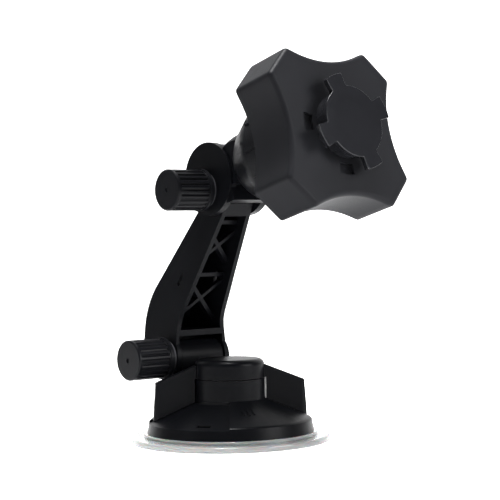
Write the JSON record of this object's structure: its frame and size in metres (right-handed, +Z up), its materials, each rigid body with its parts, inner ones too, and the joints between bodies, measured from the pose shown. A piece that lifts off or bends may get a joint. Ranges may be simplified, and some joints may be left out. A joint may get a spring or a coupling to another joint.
{
  "type": "car phone mount base",
  "caption": "Suction-base phone mount stand with a twist lock, a ribbed swing arm, a tilting bracket, a ball joint and a lobed head with a bayonet lock.",
  "frame": {"origin": "centre of the gel pad's underside, where it sticks to the dashboard", "axes": "+Z up from the dashboard, -Y towards the driver (the head's face), clamp knobs on -X"},
  "size_m": [0.08, 0.1196, 0.1502],
  "materials": {
    "gel": "clear sticky polyurethane gel",
    "clear_cup": "clear flexible vinyl",
    "body_plastic": "fine-textured near-black moulding",
    "head_plastic": "fine-textured charcoal moulding",
    "knob_plastic": "semi-gloss splined moulding",
    "lock_gloss": "polished black",
    "acetal": "natural acetal",
    "steel": "zinc-plated",
    "spring_steel": "bright spring wire",
    "washer": "fibre friction washer",
    "ball_metal": "dark anodised",
    "magnet": "nickel plated"
  },
  "bodies": {
    "base": {"gel_pad": "gel", "suction_cup": "clear_cup", "base_disc": "body_plastic", "pedestal": "body_plastic", "pedestal_screws": "steel", "stem_spring": "spring_steel"},
    "stem": {"stem": "acetal", "stem_pin": "steel", "spring_washer": "steel"},
    "twist": {"twist_knob": "body_plastic", "cam_ring": "acetal", "cam_screws": "steel"},
    "arm": {"arm_shell": "body_plastic", "arm_frame": "body_plastic", "lower_bolt": "steel", "lower_friction_washers": "washer", "lower_knob_washer": "washer"},
    "lower_knob": {"lower_knob": "knob_plastic", "lower_knob_nut": "steel"},
    "bracket": {"bracket": "body_plastic", "upper_bolt": "steel", "upper_friction_washers": "washer", "upper_knob_washer": "washer", "rear_seat": "acetal"},
    "upper_knob": {"upper_knob": "knob_plastic", "upper_knob_nut": "steel"},
    "collar": {"collar_nut": "body_plastic"},
    "pan_liner": {"liner_outer": "acetal"},
    "tilt_liner": {"liner_inner": "acetal"},
    "head": {"ball_stud": "ball_metal", "back_plate": "body_plastic", "back_screws": "steel", "head_shell": "head_plastic", "stud_screw": "steel", "twist_lock": "lock_gloss", "lock_screws": "steel", "lock_magnet": "magnet"}
  },
  "joints": [
    {"name": "suction_twist", "type": "hinge", "parent": "base", "child": "twist", "pos_m": [0, 0, 0.0288], "axis": [0, 0, 1], "range_deg": [0, 70]},
    {"name": "stem_lift", "type": "slide", "parent": "base", "child": "stem", "axis": [0, 0, 1], "range_m": [0, 0.0024], "deforming": ["stem_spring", "suction_cup"]},
    {"name": "arm_swing", "type": "hinge", "parent": "base", "child": "arm", "pos_m": [0, 0.0242, 0.0326], "axis": [1, 0, 0], "range_deg": [-25, 25]},
    {"name": "lower_knob_turn", "type": "hinge", "parent": "arm", "child": "lower_knob", "pos_m": [-0.02, 0.0242, 0.0326], "axis": [1, 0, 0], "continuous": true},
    {"name": "bracket_tilt", "type": "hinge", "parent": "arm", "child": "bracket", "pos_m": [0, 0, 0.1001], "axis": [1, 0, 0], "range_deg": [-30, 30]},
    {"name": "upper_knob_turn", "type": "hinge", "parent": "bracket", "child": "upper_knob", "pos_m": [-0.02, 0, 0.1001], "axis": [1, 0, 0], "continuous": true},
    {"name": "collar_turn", "type": "hinge", "parent": "bracket", "child": "collar", "pos_m": [0, -0.03909, 0.11354], "axis": [0, -0.9686, 0.2487], "range_deg": [0, 90]},
    {"name": "ball_pan", "type": "hinge", "parent": "bracket", "child": "pan_liner", "pos_m": [0, -0.03909, 0.11354], "axis": [0, 0.2487, 0.9686], "range_deg": [-14, 14]},
    {"name": "ball_tilt", "type": "hinge", "parent": "pan_liner", "child": "tilt_liner", "pos_m": [0, -0.03909, 0.11354], "axis": [1, 0, 0], "range_deg": [-14, 14]},
    {"name": "ball_roll", "type": "hinge", "parent": "tilt_liner", "child": "head", "pos_m": [0, -0.03909, 0.11354], "axis": [0, -0.9686, 0.2487], "continuous": true}
  ],
  "couplings": [
    {"joint": "suction_twist", "follows": "stem_lift", "rad_per_m": 509.04}
  ]
}
